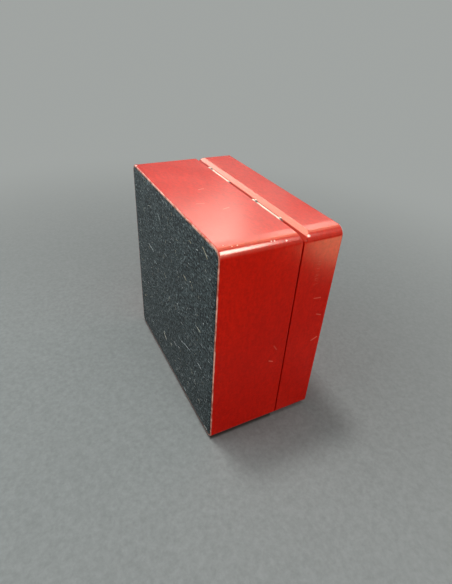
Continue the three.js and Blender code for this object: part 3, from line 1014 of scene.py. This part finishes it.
def make_world():
    """A backdrop that the camera, mirrors and glass see, and a dim even light for the rest."""
    world = bpy.data.worlds.new("world")
    bpy.context.scene.world = world
    world.use_nodes = True
    tree = world.node_tree
    tree.nodes.clear()
    path = tree.nodes.new("ShaderNodeLightPath").outputs
    shown = path["Is Camera Ray"]
    for other in ("Is Transmission Ray", "Is Glossy Ray"):
        either = tree.nodes.new("ShaderNodeMath")
        either.operation = "MAXIMUM"
        tree.links.new(shown, either.inputs[0])
        tree.links.new(path[other], either.inputs[1])
        shown = either.outputs[0]
    backdrop = tree.nodes.new("ShaderNodeBackground")
    backdrop.inputs["Color"].default_value = BACKDROP_COLOUR + (1,)
    ambient = tree.nodes.new("ShaderNodeBackground")
    ambient.inputs["Color"].default_value = AMBIENT_COLOUR
    ambient.inputs["Strength"].default_value = AMBIENT_STRENGTH
    mixed = tree.nodes.new("ShaderNodeMixShader")
    tree.links.new(shown, mixed.inputs[0])
    tree.links.new(ambient.outputs[0], mixed.inputs[1])
    tree.links.new(backdrop.outputs[0], mixed.inputs[2])
    output = tree.nodes.new("ShaderNodeOutputWorld")
    tree.links.new(mixed.outputs[0], output.inputs["Surface"])


WHITE = (1.0, 1.0, 1.0)
WINDOW_WHITE = (1.0, 0.94, 0.83)

# Name, direction from the case, distance, size across and up in metres, watts and colour
GLOSS_LAMPS = (
    ("far_wall", (0.834, 0.354, 0.423), 1.0, (0.42, 0.61), 0.20, (1.0, 0.93, 0.80)),
    ("glow", (0.644, 0.667, 0.375), 1.0, (0.60, 0.50), 1.9, WINDOW_WHITE),
    ("window", (0.655, 0.691, 0.306), 1.0, (0.53, 0.345), 5.9, WINDOW_WHITE),
    ("window_high", (0.505, 0.632, 0.588), 1.0, (0.34, 0.245), 2.8, WINDOW_WHITE),
    ("ceiling", (0.16, 0.86, 0.48), 1.0, (0.48, 0.44), 1.4, (1.0, 0.92, 0.78)),
    ("bevel_side", (0.78, 0.52, -0.34), 1.0, (0.83, 0.50), 6.9, (1.0, 0.93, 0.90)),
    ("streak", (-0.547, 0.753, 0.366), 0.9, (0.46, 0.17), 6.2, (0.62, 0.80, 1.0)),
    ("haze", (-0.757, -0.115, 0.644), 0.243, (0.055, 0.055), 0.105, (1.0, 0.78, 0.5)),
)
SHADOW_LAMP = ("top_light", (0.20, 0.972, -0.10), 1.1, (0.15, 0.15), 6.7, WHITE)
SOFT_LAMPS = (
    ("overhead", (0.25, 0.93, -0.27), 1.1, (0.7, 0.7), 1.8, WHITE),
    ("left_high", (-0.77, 0.62, 0.02), 0.33, (0.22, 0.16), 0.31, WHITE),
    ("left_low", (-1.0, -0.04, 0.0), 0.5, (0.25, 0.10), 0.44, WHITE),
    ("felt_side", (0.10, 0.67, -0.735), 0.31, (0.24, 0.24), 0.53, (0.92, 0.98, 1.0)),
    ("above", (0.1, 0.1, 1.0), 1.3, (0.9, 0.9), 7.0, WHITE),
    ("front", (0.75, -0.6, 0.3), 1.3, (0.9, 0.9), 10.0, WHITE),
)


def add_lamp(name, direction, distance, size, watts, colour, gloss_only=False, unseen=False):
    """A rectangular soft lamp, turned to face the case. It may be seen only in gloss, or not at all."""
    lamp = bpy.data.lights.new(name, "AREA")
    lamp.shape = "RECTANGLE"
    lamp.size, lamp.size_y = size
    lamp.energy = watts
    lamp.color = colour
    holder = bpy.data.objects.new(name, lamp)
    target = (cad_box[0] + cad_box[1]) / 2
    outward = Vector(direction).normalized()
    holder.location = target + outward * distance
    holder.rotation_mode = "QUATERNION"
    holder.rotation_quaternion = (-outward).to_track_quat("-Z", "Y")
    holder.visible_diffuse = not gloss_only
    holder.visible_glossy = not unseen
    bpy.context.scene.collection.objects.link(holder)


def make_lights():
    for lamp in GLOSS_LAMPS:
        add_lamp(*lamp, gloss_only=True)
    add_lamp(*SHADOW_LAMP, unseen=True)
    for lamp in SOFT_LAMPS:
        add_lamp(*lamp)


bpy.context.scene.view_settings.view_transform = "Standard"
make_camera()
lacquered_body = make_lacquered_boards()
make_lint(make_felt())
make_velvet()
dress_cad_nodes()
make_floors()
make_world()
make_lights()
